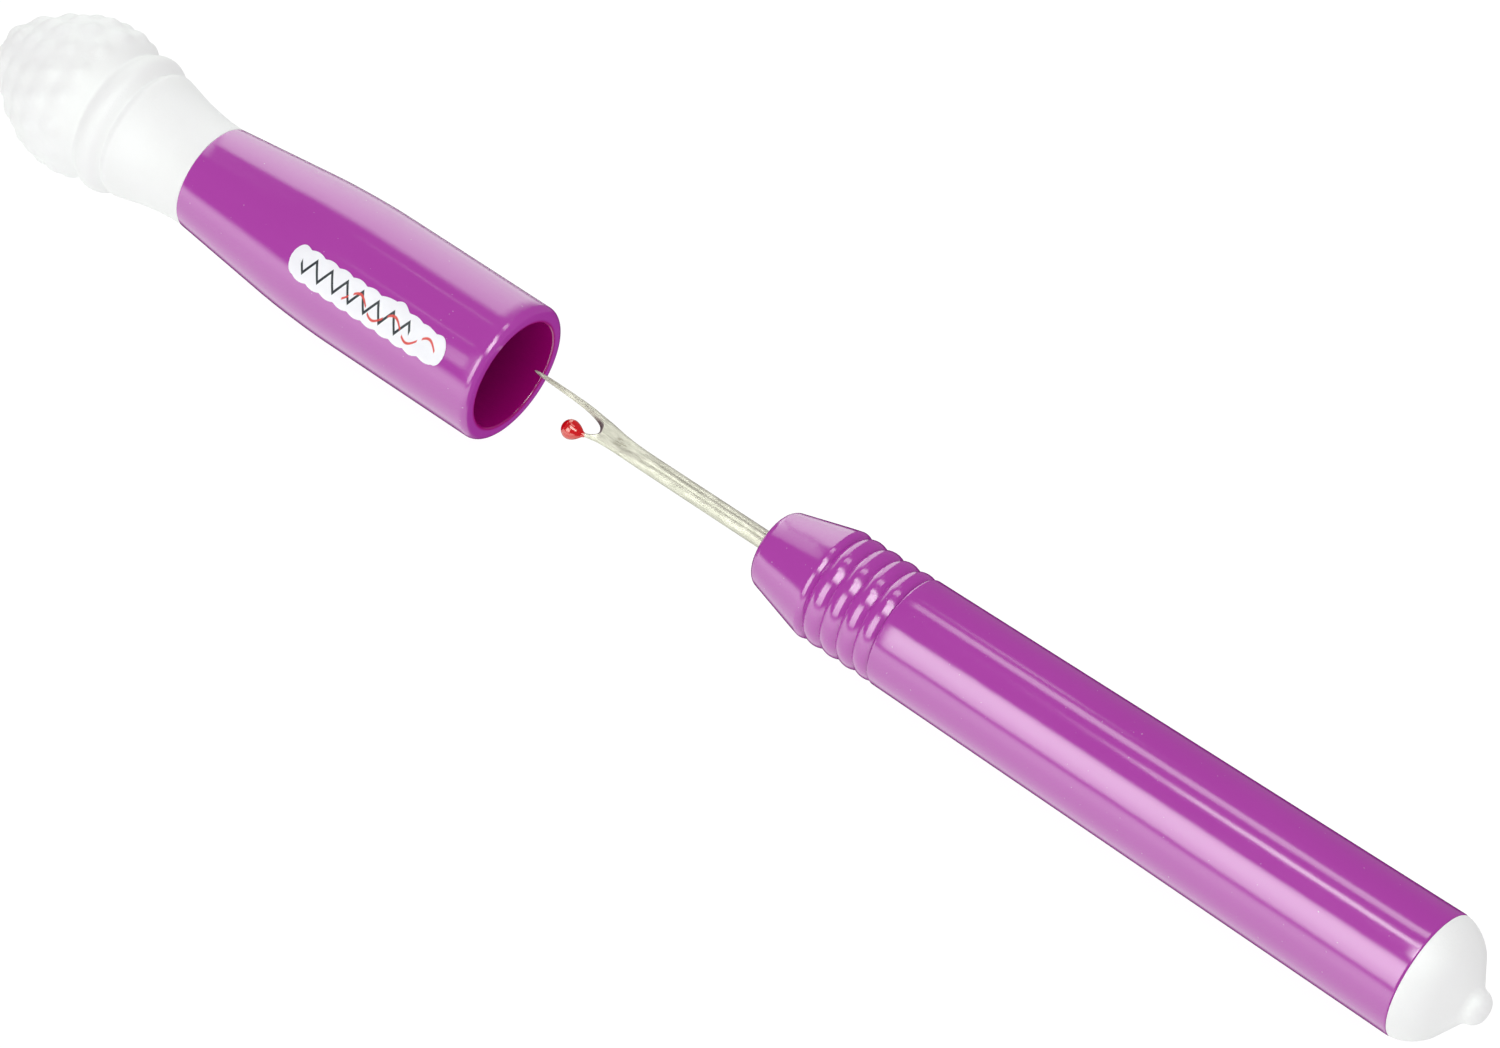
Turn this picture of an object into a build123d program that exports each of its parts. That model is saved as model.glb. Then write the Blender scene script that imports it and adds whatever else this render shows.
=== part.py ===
from build123d import *
import math
import os

os.makedirs("parts", exist_ok=True)

# A two-piece seam ripper lying on its side with the cap pulled off. Sizes are in millimetres.
# +X runs along the common axis from the handle's tail to the cap's head, and +Z is up.
# The origin is on the resting surface, under the middle of the whole length.
# A station is a distance along the axis from the barrel's rear edge. A depth is a distance
# into the cap from its mouth. A reach is a distance from the axis.

# Barrel of the handle: a hollow moulding that thickens towards its rear
barrel_length = 65.4
barrel_front_radius = 6.17
barrel_taper = 0.0135  # radius gained per millimetre towards the rear
barrel_wall = 1.6
barrel_edge = 0.3

# Grip ribs, and the shoulder that closes the row
rib_count = 4
rib_pitch = 2.12
rib_rise = 0.02  # of a crest above the barrel's front edge
rib_depth = 0.42
shoulder_length = 1.7
shoulder_drop = 0.19  # from a crest to the shoulder's front edge

# Nose cone, and the boss inside it that holds the blade's tang
cone_length = 6.75
nose_radius = 4.15
nose_edge = 0.9
nose_front_wall = 6.0
nose_boss_radius = 2.9
nose_boss_overlap = 2.0

# Blade: round wire flattened into a fork
shank_radius = 1.05
tang_length = 13.0
shank_length = 17.6  # from the nose's face to where the flattening starts
flute_radius = 0.17
flute_spread = 24.0  # degrees to each side of the top and of the bottom
fork_length = 5.4  # from the flattening to the bottom of the crotch
fork_half_thickness = 0.5
fork_flare = 0.62  # widening of the point's side at the crotch
flattening_length = 3.6  # over which the round wire turns into the flat fork
flattening_flare = 0.21  # widening at the end of that length
crotch_width = 1.9
crotch_reach = 0.05  # of the crotch's middle, towards the ball
crotch_depth = 1.05
prong_wall = 0.55
prong_slope = 0.2  # of the short prong's outer edge, across the axis
crotch_slope = 0.35  # of the crotch's bottom, along the axis
point_length = 10.4  # from the crotch to the tip
point_radius = 0.29
point_tip_radius = 0.06
point_reach = 1.85
point_slope = 0.05  # of the point's outer edge, across the axis
needle_root_half_width = 0.435
needle_root_half_thickness = 0.4
tip_taper_length = 3.4

# Red ball on the short prong
ball_radius = 1.08
ball_reach = 1.62
ball_distance = 2.5  # from the crotch to the ball's centre
ball_shoulder_turn = 140.0  # degrees from the ball's front to where the neck leaves it
ball_neck_slope = 0.1
ball_neck_radius = 0.3
ball_neck_length = 0.85
prong_end_radius = 0.2

# Rubber tip of the tail, and the rigid plug that carries it
tail_dome_length = 5.35
tail_dome_middle = 0.52  # of the dome's length, where its full middle is set
tail_dome_fullness = 0.8  # of the rim's radius, at that middle
tail_dome_slope = 1.1  # where the dome meets the nub
tail_rim_step = 0.03
nub_radius = 1.85
nub_length = 1.85
nub_edge = 0.9
plug_depth = 8.0
plug_wall = 1.9
plug_floor = 2.4
post_radius = 2.3
post_length = 1.7
post_head_radius = 3.1
post_head_length = 1.2

# Cap: a flared shell with a hollow spigot that carries the rubber head
cap_fit = 0.04  # radial clearance between the bore and the ribs
seat_gap = 0.02  # radial clearance left where the bore seats on the taper
cap_gap = 1.15  # from the blade's tip to the mouth as the cap lies pulled off
cap_length = 41.3
cap_wall = 1.6
cap_mouth_draft = 0.09
cap_mouth_edge = 0.85
cap_lead_in = 0.22
cap_straight_length = 24.6
cap_blend_radius = 80.0
waist_radius = 5.97
waist_wall = 1.45
point_room = 0.55  # radial room around the fork in the spigot's bore
tip_room = 2.2  # room past the blade's tip when the cap is on
spigot_wall = 1.2
spigot_end_wall = 1.6
spigot_flange_radius = 5.4
spigot_flange_length = 1.5

# Rubber head of the cap
head_length = 29.7
head_radius = 8.75
neck_radius = 5.9
neck_length = 9.7
neck_middle = 0.55  # of the neck's length, where its curve is set
neck_middle_rise = 0.3  # of the neck's whole rise, at that middle
neck_lip_slope = 0.2
lip_radius = 7.35
ring_length = 3.6
ring_radius = 8.1
ring_groove_depth = 0.3
dome_start_radius = 7.75
dome_rise_length = 4.6
dome_rise_slope = 1.2
dome_middle = 0.6  # of the falling length, where its curve is set
dome_fullness = 0.69  # of the head's radius, at that middle

# Printed sticker on the cap
label_depth = 14.8
label_length = 21.0
label_width = 5.0
label_corner = 2.2
label_thickness = 0.1
label_tilt = 47.5  # degrees from the top, towards +Y

# Stations and radii that follow from the sizes above
barrel_rear_radius = barrel_front_radius + barrel_taper * barrel_length
rib_radius = barrel_front_radius + rib_rise
groove_radius = rib_radius - rib_depth
shoulder_radius = rib_radius - shoulder_drop
shoulder_station = barrel_length + rib_count * rib_pitch
cone_station = shoulder_station + shoulder_length
nose_station = cone_station + cone_length
tang_station = nose_station - tang_length
fork_station = nose_station + shank_length
crotch_station = fork_station + fork_length
tip_station = crotch_station + point_length
ball_station = crotch_station + ball_distance
tail_end = tail_dome_length + nub_length

cap_bore_radius = rib_radius + cap_fit
cap_radius = cap_bore_radius + cap_wall
seat_station = barrel_length - (cap_bore_radius - seat_gap - barrel_front_radius) / barrel_taper
mouth_station = tip_station + cap_gap
cap_travel = mouth_station - seat_station
fork_reach = max(ball_reach + ball_radius, point_reach + point_radius)
point_bore_radius = fork_reach + point_room
spigot_radius = point_bore_radius + spigot_wall
point_bore_depth = tip_station - seat_station + tip_room
spigot_depth = point_bore_depth + spigot_end_wall
head_depth = cap_length + head_length

rear_x = (tail_end - mouth_station - head_depth) / 2
mouth_x = rear_x + mouth_station
axis_height = head_radius


def barrel_radius(station):
    """The barrel's outside at a station."""
    return barrel_front_radius + barrel_taper * (barrel_length - station)


def bore_radius(station):
    """The barrel's inside at a station."""
    return barrel_radius(station) - barrel_wall


# Profiles are drawn as (distance along the axis, distance from it) and turned about the axis.
handle_side = Plane(origin=(rear_x, 0, axis_height), x_dir=(1, 0, 0), z_dir=(0, -1, 0))
cap_side = Plane(origin=(mouth_x, 0, axis_height), x_dir=(1, 0, 0), z_dir=(0, -1, 0))
fork_top = Plane(origin=(rear_x, 0, axis_height), x_dir=(1, 0, 0), z_dir=(0, 0, 1))
main_axis = Axis((0, 0, axis_height), (1, 0, 0))


def across(station):
    """A plane square to the axis at a station, with local x along +Y and local y along +Z."""
    return Plane(origin=(rear_x + station, 0, axis_height), x_dir=(0, 1, 0), z_dir=(1, 0, 0))


# The blade is one piece of plated wire. Its fork lies flat, with the point on the -Y side
# and the short prong, which carries the ball, on the +Y side.
crotch_point_side = crotch_reach - crotch_width / 2
crotch_ball_side = crotch_reach + crotch_width / 2
fork_point_side = -(shank_radius + fork_flare)
fork_ball_side = crotch_ball_side + prong_wall / 2
needle_start = crotch_station + 2 * crotch_depth
needle_straight_end = tip_station - tip_taper_length

with BuildPart() as blade:
    with BuildSketch(across(tang_station)):
        Circle(shank_radius)
        for side in (90, -90):
            for turn in (side - flute_spread, side + flute_spread):
                with PolarLocations(shank_radius, 1, start_angle=turn):
                    Circle(flute_radius, mode=Mode.SUBTRACT)
    extrude(amount=fork_station - tang_station)
    # The fork's outline, with the crotch drawn as a half ellipse
    with BuildSketch(fork_top):
        with BuildLine():
            point_root = (fork_station - shank_radius, -shank_radius)
            ball_root = (fork_station - shank_radius, shank_radius)
            point_shoulder = (crotch_station, fork_point_side)
            needle_outside = (needle_start, -point_reach - point_radius)
            needle_inside = (needle_start, -point_reach + point_radius)
            crotch_top = (crotch_station + crotch_depth, crotch_point_side)
            crotch_bottom = (crotch_station, crotch_reach)
            crotch_end = (crotch_station + crotch_depth / 2, crotch_ball_side)
            prong_outside = (crotch_station + crotch_depth / 2, fork_ball_side)
            Line(ball_root, point_root)
            Spline(
                point_root,
                point_shoulder,
                needle_outside,
                tangents=((1, 0), (1, -point_slope)),
            )
            Line(needle_outside, needle_inside)
            Spline(
                needle_inside,
                crotch_top,
                crotch_bottom,
                crotch_end,
                tangents=((-1, 2 * point_slope), (1, crotch_slope)),
            )
            Line(crotch_end, prong_outside)
            Spline(prong_outside, ball_root, tangents=((-1, -prong_slope), (-1, 0)))
        make_face()
    extrude(amount=fork_half_thickness, both=True)
    # Flattening of the round wire into the fork
    with BuildSketch(across(fork_station)):
        Circle(shank_radius)
    with BuildSketch(across(fork_station + flattening_length)):
        Ellipse(shank_radius + flattening_flare, fork_half_thickness)
    loft()
    # The long prong, a needle that ends in the point
    with BuildSketch(across(needle_start - crotch_depth)):
        with Locations((-point_reach + point_radius / 2, 0)):
            Ellipse(needle_root_half_width, needle_root_half_thickness)
    with BuildSketch(across(needle_start + crotch_depth)):
        with Locations((-point_reach, 0)):
            Circle(point_radius)
    loft()
    with BuildSketch(across(needle_start + crotch_depth)):
        with Locations((-point_reach, 0)):
            Circle(point_radius)
    with BuildSketch(across(needle_straight_end)):
        with Locations((-point_reach, 0)):
            Circle(point_radius)
    with BuildSketch(across(tip_station)):
        with Locations((-point_reach, 0)):
            Circle(point_tip_radius)
    loft(ruled=True)
    # The short prong, which ends inside the ball
    with BuildSketch(across(crotch_station)):
        with Locations(((crotch_ball_side + fork_ball_side) / 2, 0)):
            Circle(prong_wall / 2)
    with BuildSketch(across(ball_station)):
        with Locations((ball_reach, 0)):
            Circle(prong_end_radius)
    loft()
blade.part.label = "blade"
export_step(blade.part, "parts/blade.step")


def corner(section, distance, reach):
    """The corner of an open sketch nearest to a point."""
    return section.vertices().sort_by_distance((distance, reach, 0))[0]


# A bead of red plastic dipped onto the short prong and drawn out to a neck along it. It is
# turned about the line through its centre that the prong comes in along.
prong_root_reach = (crotch_ball_side + fork_ball_side) / 2
ball_slope = math.atan2(ball_reach - prong_root_reach, ball_distance)
ball_plane = Plane(
    origin=(rear_x + ball_station, ball_reach, axis_height),
    x_dir=(math.cos(ball_slope), math.sin(ball_slope), 0),
    z_dir=(math.sin(ball_slope), -math.cos(ball_slope), 0),
)
ball_shoulder_cosine = math.cos(math.radians(ball_shoulder_turn))
ball_shoulder_sine = math.sin(math.radians(ball_shoulder_turn))
ball_shoulder = (ball_radius * ball_shoulder_cosine, ball_radius * ball_shoulder_sine)
ball_shoulder_direction = (ball_shoulder_sine, -ball_shoulder_cosine)
ball_neck = (-ball_radius - ball_neck_length, ball_neck_radius)

with BuildPart() as safety_ball:
    with BuildSketch(ball_plane):
        with BuildLine():
            Line((ball_radius, 0), (ball_neck[0], 0))
            Line((ball_neck[0], 0), ball_neck)
            Spline(
                ball_neck,
                ball_shoulder,
                tangents=((1, ball_neck_slope), ball_shoulder_direction),
            )
            ThreePointArc(ball_shoulder, (0, ball_radius), (ball_radius, 0))
        make_face()
    revolve(axis=Axis(ball_plane.origin, ball_plane.x_dir))
    add(blade.part, mode=Mode.SUBTRACT)
safety_ball.part.label = "safety_ball"
export_step(safety_ball.part, "parts/safety_ball.step")

# The barrel, its grip ribs and its nose are one moulding around the blade's tang. It is
# cored from the rear, and the core leaves a boss around the tang.
nose_core_station = nose_station - nose_front_wall
nose_core_radius = groove_radius - barrel_wall
boss_station = tang_station - nose_boss_overlap

with BuildPart() as handle_barrel:
    with BuildSketch(handle_side) as barrel_section:
        with BuildLine():
            Line((0, bore_radius(0)), (0, barrel_rear_radius))
            Line((0, barrel_rear_radius), (barrel_length, barrel_front_radius))
            Line((barrel_length, barrel_front_radius), (barrel_length, groove_radius))
            for rib in range(rib_count):
                rib_start = barrel_length + rib * rib_pitch
                rib_end = rib_start + rib_pitch
                ThreePointArc(
                    (rib_start, groove_radius),
                    ((rib_start + rib_end) / 2, rib_radius),
                    (rib_end, groove_radius),
                )
            ThreePointArc(
                (shoulder_station, groove_radius),
                (shoulder_station + shoulder_length / 2, rib_radius),
                (cone_station, shoulder_radius),
            )
            Line((cone_station, shoulder_radius), (nose_station, nose_radius))
            Line((nose_station, nose_radius), (nose_station, 0))
            Line((nose_station, 0), (boss_station, 0))
            Line((boss_station, 0), (boss_station, nose_boss_radius))
            Line((boss_station, nose_boss_radius), (nose_core_station, nose_boss_radius))
            Line((nose_core_station, nose_boss_radius), (nose_core_station, nose_core_radius))
            Line((nose_core_station, nose_core_radius), (barrel_length, bore_radius(barrel_length)))
            Line((barrel_length, bore_radius(barrel_length)), (0, bore_radius(0)))
        make_face()
        fillet(corner(barrel_section, 0, barrel_rear_radius), barrel_edge)
        fillet(corner(barrel_section, barrel_length, barrel_front_radius), barrel_edge)
        fillet(corner(barrel_section, nose_station, nose_radius), nose_edge)
    revolve(axis=main_axis)
    add(blade.part, mode=Mode.SUBTRACT)
handle_barrel.part.label = "handle_barrel"
export_step(handle_barrel.part, "parts/handle_barrel.step")

# A rigid plug is pressed into the barrel's rear. Its post has a mushroom head that keys the
# rubber tip moulded over it.
plug_bore = plug_depth - plug_floor
post_end = -post_length - post_head_length

with BuildPart() as tail_plug:
    with BuildSketch(handle_side):
        with BuildLine():
            Polyline(
                (plug_floor, 0),
                (post_end, 0),
                (post_end, post_head_radius),
                (-post_length, post_head_radius),
                (-post_length, post_radius),
                (0, post_radius),
                (0, bore_radius(0)),
                (plug_depth, bore_radius(plug_depth)),
                (plug_depth, bore_radius(plug_depth) - plug_wall),
                (plug_floor, bore_radius(0) - plug_wall),
                close=True,
            )
        make_face()
    revolve(axis=main_axis)
tail_plug.part.label = "tail_plug"
export_step(tail_plug.part, "parts/tail_plug.step")

# The rubber tip is a dome that narrows to a small round nub.
tail_rim_radius = barrel_rear_radius - tail_rim_step
nub_base = -tail_dome_length
tail_dome_knot = (tail_dome_middle * nub_base, tail_dome_fullness * tail_rim_radius)

with BuildPart() as tail_tip:
    with BuildSketch(handle_side) as tip_section:
        with BuildLine():
            Line((0, 0), (0, tail_rim_radius))
            Spline(
                (0, tail_rim_radius),
                tail_dome_knot,
                (nub_base, nub_radius),
                tangents=((-1, 0), (-1, -tail_dome_slope)),
            )
            Line((nub_base, nub_radius), (-tail_end, nub_radius))
            Line((-tail_end, nub_radius), (-tail_end, 0))
            Line((-tail_end, 0), (0, 0))
        make_face()
        fillet(corner(tip_section, -tail_end, nub_radius), nub_edge)
    revolve(axis=main_axis)
    add(tail_plug.part, mode=Mode.SUBTRACT)
tail_tip.part.label = "tail_tip"
export_step(tail_tip.part, "parts/tail_tip.step")


def spigot_outline():
    """The outside of the cap's spigot, from the waist's face to its closed end."""
    flange_start = spigot_depth - spigot_flange_length
    return [
        (cap_length, 0),
        (cap_length, spigot_radius),
        (flange_start, spigot_radius),
        (flange_start, spigot_flange_radius),
        (spigot_depth, spigot_flange_radius),
        (spigot_depth, 0),
    ]


def cap_outline(proud):
    """The outside of the cap's wall down to the axis, with the wall raised by a small amount."""
    return [
        (0, 0),
        (0, cap_radius + cap_mouth_draft + proud),
        (cap_straight_length, cap_radius + proud),
        (cap_length, waist_radius + proud),
        (cap_length, 0),
    ]


# The cap's shell: a bore that slides over the ribs, a wall that follows the outside down to
# the waist, and a hollow spigot with room for the fork.
bore_step = cap_length - waist_wall

with BuildPart() as cap_shell:
    with BuildSketch(cap_side) as shell_section:
        with BuildLine():
            Polyline(*cap_outline(0), close=True)
        make_face()
        fillet(corner(shell_section, cap_straight_length, cap_radius), cap_blend_radius)
        fillet(corner(shell_section, 0, cap_radius + cap_mouth_draft), cap_mouth_edge)
    revolve(axis=main_axis)
    with BuildSketch(cap_side):
        with BuildLine():
            Polyline(*spigot_outline(), close=True)
        make_face()
    revolve(axis=main_axis)
    with BuildSketch(cap_side) as hollow_section:
        with BuildLine():
            Polyline(
                (0, 0),
                (0, cap_bore_radius),
                (cap_straight_length, cap_bore_radius),
                (bore_step, waist_radius - waist_wall),
                (bore_step, point_bore_radius),
                (point_bore_depth, point_bore_radius),
                (point_bore_depth, 0),
                close=True,
            )
        make_face()
        fillet(corner(hollow_section, cap_straight_length, cap_bore_radius), cap_blend_radius)
    revolve(axis=main_axis, mode=Mode.SUBTRACT)
    mouth_edges = cap_shell.edges().filter_by(GeomType.CIRCLE).group_by(Axis.X)[0]
    chamfer(mouth_edges.sort_by(SortBy.LENGTH)[0], cap_lead_in)
cap_shell.part.label = "cap_shell"
export_step(cap_shell.part, "parts/cap_shell.step")

# The rubber head is moulded over the spigot: a flaring neck with a lip, one round ring, and
# a dome that tapers to its end.
ring_start = cap_length + neck_length
ring_end = ring_start + ring_length
ring_root = lip_radius - ring_groove_depth
dome_top = ring_end + dome_rise_length
dome_fall = head_depth - dome_top
lip_end = ring_start - ring_groove_depth
dome_root = dome_start_radius - ring_groove_depth
neck_knot = (
    cap_length + neck_middle * neck_length,
    neck_radius + neck_middle_rise * (lip_radius - neck_radius),
)

with BuildPart() as cap_head:
    with BuildSketch(cap_side):
        with BuildLine():
            Line((cap_length, 0), (cap_length, neck_radius))
            Spline(
                (cap_length, neck_radius),
                neck_knot,
                (lip_end, lip_radius),
                tangents=((1, 0), (1, neck_lip_slope)),
            )
            Line((lip_end, lip_radius), (ring_start, ring_root))
            ThreePointArc(
                (ring_start, ring_root),
                ((ring_start + ring_end) / 2, ring_radius),
                (ring_end, dome_root),
            )
            Spline(
                (ring_end, dome_root),
                (dome_top, head_radius),
                tangents=((1, dome_rise_slope), (1, 0)),
            )
            Spline(
                (dome_top, head_radius),
                (dome_top + dome_middle * dome_fall, dome_fullness * head_radius),
                (head_depth, 0),
                tangents=((1, 0), (0, -1)),
            )
            Line((head_depth, 0), (cap_length, 0))
        make_face()
    revolve(axis=main_axis)
    with BuildSketch(cap_side):
        with BuildLine():
            Polyline(*spigot_outline(), close=True)
        make_face()
    revolve(axis=main_axis, mode=Mode.SUBTRACT)
cap_head.part.label = "cap_head"
export_step(cap_head.part, "parts/cap_head.step")

# A thin printed sticker that follows the cap's outer wall
label_normal = (0, math.sin(math.radians(label_tilt)), math.cos(math.radians(label_tilt)))
label_plane = Plane(
    origin=(mouth_x + label_depth, 0, axis_height),
    x_dir=(1, 0, 0),
    z_dir=label_normal,
)

with BuildPart() as cap_label:
    with BuildSketch(cap_side) as raised_section:
        with BuildLine():
            Polyline(*cap_outline(label_thickness), close=True)
        make_face()
        raised_corner = corner(raised_section, cap_straight_length, cap_radius + label_thickness)
        fillet(raised_corner, cap_blend_radius)
    revolve(axis=main_axis)
    with BuildSketch(label_plane):
        RectangleRounded(label_length, label_width, label_corner)
    extrude(amount=2 * cap_radius, mode=Mode.INTERSECT)
    with BuildSketch(cap_side) as wall_section:
        with BuildLine():
            Polyline(*cap_outline(0), close=True)
        make_face()
        fillet(corner(wall_section, cap_straight_length, cap_radius), cap_blend_radius)
    revolve(axis=main_axis, mode=Mode.SUBTRACT)
cap_label.part.label = "cap_label"
export_step(cap_label.part, "parts/cap_label.step")

print(f"barrel's rear edge at x {rear_x:.3f}, cap's mouth at x {mouth_x:.3f}")
print(f"cap seats at station {seat_station:.3f}, after {cap_travel:.3f} of travel")
print(f"point bore {point_bore_depth:.3f} deep, radius {point_bore_radius:.3f}")
print(f"whole length {tail_end + mouth_station + head_depth:.2f}")
print(f"closed length {tail_end + seat_station + head_depth:.2f}")
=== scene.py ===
# %% [markdown]
# A two-piece seam ripper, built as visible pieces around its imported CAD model. The tool is a
# purple handle with a forked blade, and a cap that has been pulled off and lies in line with
# it. Both ends carry white rubber, which rubs loose threads out of a cut seam.
#
# Almost every piece of it is round, so almost every piece is turned: one closed section, a
# rounding at each of its corners, and a full spin about the tool's axis. The blade, the bead
# and the sticker are the pieces that a lathe can't give, and each has its own way below.

# %% Loading the frame
import math

import bmesh
import bpy
from mathutils import Matrix, Vector


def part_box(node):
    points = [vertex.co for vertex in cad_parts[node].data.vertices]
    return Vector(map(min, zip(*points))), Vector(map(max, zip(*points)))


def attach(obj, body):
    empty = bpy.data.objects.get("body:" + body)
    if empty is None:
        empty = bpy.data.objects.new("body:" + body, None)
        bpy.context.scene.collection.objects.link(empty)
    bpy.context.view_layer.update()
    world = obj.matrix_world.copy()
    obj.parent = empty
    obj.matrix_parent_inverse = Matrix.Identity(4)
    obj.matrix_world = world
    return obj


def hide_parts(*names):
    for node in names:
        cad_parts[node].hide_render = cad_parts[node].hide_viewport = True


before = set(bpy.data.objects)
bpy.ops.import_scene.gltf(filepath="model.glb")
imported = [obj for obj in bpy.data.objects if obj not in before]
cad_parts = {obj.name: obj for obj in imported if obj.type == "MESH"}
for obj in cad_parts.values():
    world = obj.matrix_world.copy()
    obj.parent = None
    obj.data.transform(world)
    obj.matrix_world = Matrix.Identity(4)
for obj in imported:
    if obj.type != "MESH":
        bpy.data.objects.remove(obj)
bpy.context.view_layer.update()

MM = 0.001
scene = bpy.context.scene

# %% [markdown]
# Almost every length along the tool is counted from one of four places that the CAD model
# gives: the barrel's rear edge, the nose's face, the cap's mouth and the cap's waist. The
# boxes also give where the tail, the head and the cap's spigot end. Pieces are modelled in
# millimetres, because bevels and merges work with small fixed tolerances, and each mesh is
# scaled to metres once, when it is finished.

# %% Datum places, in millimetres
barrel_low, barrel_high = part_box("handle_barrel")
shell_low, shell_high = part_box("cap_shell")
head_low, head_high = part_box("cap_head")
tail_low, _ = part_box("tail_tip")

rear = barrel_low.x / MM
nose = barrel_high.x / MM
mouth = shell_low.x / MM
waist = head_low.x / MM
tail_end = tail_low.x / MM
head_end = head_high.x / MM
spigot_end = shell_high.x / MM
axis_height = (barrel_low.z + barrel_high.z) / 2 / MM
axis_point = Vector((0, 0, axis_height))
print(f"rear {rear:.2f}  nose {nose:.2f}  mouth {mouth:.2f}  waist {waist:.2f}")

# %% [markdown]
# The camera stands over the cap's side of the tool and looks down along it with a long lens,
# so the near end is hardly larger than the far one. It is placed by a direction and a distance
# from the point it aims at, which is easier to read than a position and three angles.

# %% Camera
camera_azimuth = math.radians(129.47)
camera_elevation = math.radians(52.82)
camera_distance = 0.8113
camera_lens = 192.0
aim = Vector((-0.00430, -0.00071, axis_height * MM - 0.00012))

camera_direction = Vector((
    math.cos(camera_elevation) * math.cos(camera_azimuth),
    math.cos(camera_elevation) * math.sin(camera_azimuth),
    math.sin(camera_elevation),
))
camera_data = bpy.data.cameras.new("studio_camera")
camera_data.lens = camera_lens
camera_data.sensor_width = 36.0
camera = bpy.data.objects.new("studio_camera", camera_data)
camera.location = aim + camera_direction * camera_distance
camera.rotation_euler = (-camera_direction).to_track_quat("-Z", "Y").to_euler()
scene.collection.objects.link(camera)
scene.camera = camera
print("camera at", [round(value, 3) for value in camera.location])

# %% [markdown]
# Materials are small programs of nodes. One class stands for a value on its way between two
# nodes, so that shader maths reads as ordinary arithmetic, and one class stands for a whole
# finish, with a single method that adds any other node.

# %% Shader arithmetic
class Signal:
    """The output socket of a node, which can be used in arithmetic."""

    def __init__(self, finish, socket):
        self.finish = finish
        self.socket = socket

    def math(self, operation, *others):
        return self.finish.node("Math", {"operation": operation}, dict(enumerate([self, *others])))

    def __add__(self, other):
        return self.math("ADD", other)

    def __mul__(self, other):
        return self.math("MULTIPLY", other)

    def __sub__(self, other):
        return self.math("SUBTRACT", other)

    def __rsub__(self, other):
        return self.finish.node("Math", {"operation": "SUBTRACT"}, {0: other, 1: self})

    def __truediv__(self, other):
        return self.math("DIVIDE", other)

    def __abs__(self):
        return self.math("ABSOLUTE")

    __radd__ = __add__
    __rmul__ = __mul__

    def below(self, edge, softness):
        """One where the signal is under an edge, fading to nothing over a softness."""
        return self.finish.node("MapRange", {"interpolation_type": "SMOOTHSTEP"}, {
            "Value": self,
            "From Min": edge - softness,
            "From Max": edge + softness,
            "To Min": 1.0,
            "To Max": 0.0,
        })

    def above(self, edge, softness):
        return 1 - self.below(edge, softness)


class Finish:
    """A material with one Principled shader, and the node tree that feeds it."""

    def __init__(self, name, **constants):
        self.material = bpy.data.materials.new(name)
        self.material.use_nodes = True
        self.tree = self.material.node_tree
        self.shader = self.tree.nodes["Principled BSDF"]
        for socket, value in constants.items():
            self.shader.inputs[socket.replace("_", " ")].default_value = value

    def node(self, kind, settings=None, inputs=None, output=0):
        """Adds a node, sets it up, then fills its sockets with numbers or signals."""
        node = self.tree.nodes.new("ShaderNode" + kind)
        for setting, value in (settings or {}).items():
            if setting == "stops":
                ramp = node.color_ramp
                while len(ramp.elements) < len(value):
                    ramp.elements.new(1.0)
                for element, (position, colour) in zip(ramp.elements, value):
                    element.position = position
                    element.color = colour
            else:
                setattr(node, setting, value)
        for socket, value in (inputs or {}).items():
            self.plug(value, node.inputs[socket])
        return Signal(self, node.outputs[output])

    def plug(self, value, socket):
        if isinstance(value, Signal):
            self.tree.links.new(value.socket, socket)
        else:
            socket.default_value = value

    def feed(self, socket, value):
        self.plug(value, self.shader.inputs[socket])

    def place(self):
        """The point being shaded, in metres, in the tool's own frame."""
        return self.node("TexCoord", output="Object")

    def parts(self, vector):
        """The three coordinates of a vector, each as a signal of its own."""
        split = self.node("SeparateXYZ", inputs={"Vector": vector})
        return [Signal(self, socket) for socket in split.socket.node.outputs]

    def stretched(self, scale):
        """The point being shaded, with each axis multiplied by its own scale."""
        return self.node("Mapping", inputs={"Vector": self.place(), "Scale": scale})

    def noise(self, vector, scale, detail=2.0, roughness=0.5):
        return self.node("TexNoise", inputs={
            "Vector": vector,
            "Scale": scale,
            "Detail": detail,
            "Roughness": roughness,
        })

    def blend(self, factor, first, second):
        """A colour between two colours."""
        return self.node("Mix", {"data_type": "RGBA"}, {0: factor, 6: first, 7: second}, output=2)

    def relief(self, height, depth):
        """Turns a height of 0 to 1 into small bumps of a depth in metres."""
        bump = self.node("Bump", inputs={"Height": height, "Distance": depth, "Strength": 1.0})
        self.feed("Normal", bump)


def colour(red, green, blue):
    return (red, green, blue, 1.0)


print("shader arithmetic ready")

# %% [markdown]
# A glossy round bar shows its surroundings as stripes, so the studio is designed from the
# stripes backwards. A stripe at a turn around the bar mirrors whatever stands at one bearing
# around the tool's axis, so each reflector is a strip of a wide tube around the tool, and its
# glow is written down as a list of bearings and brightnesses. The glow fades between them,
# which gives the soft edges that a studio diffuser gives. The strips show in reflections only.
# The even daylight on the rubber comes from the world and one soft key card.

# %% Reflectors
reflector_reach = 0.35
reflector_fade = 0.012
reflector_tint = (0.86, 1.0, 0.87)
degrees_per_step = 3


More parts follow.
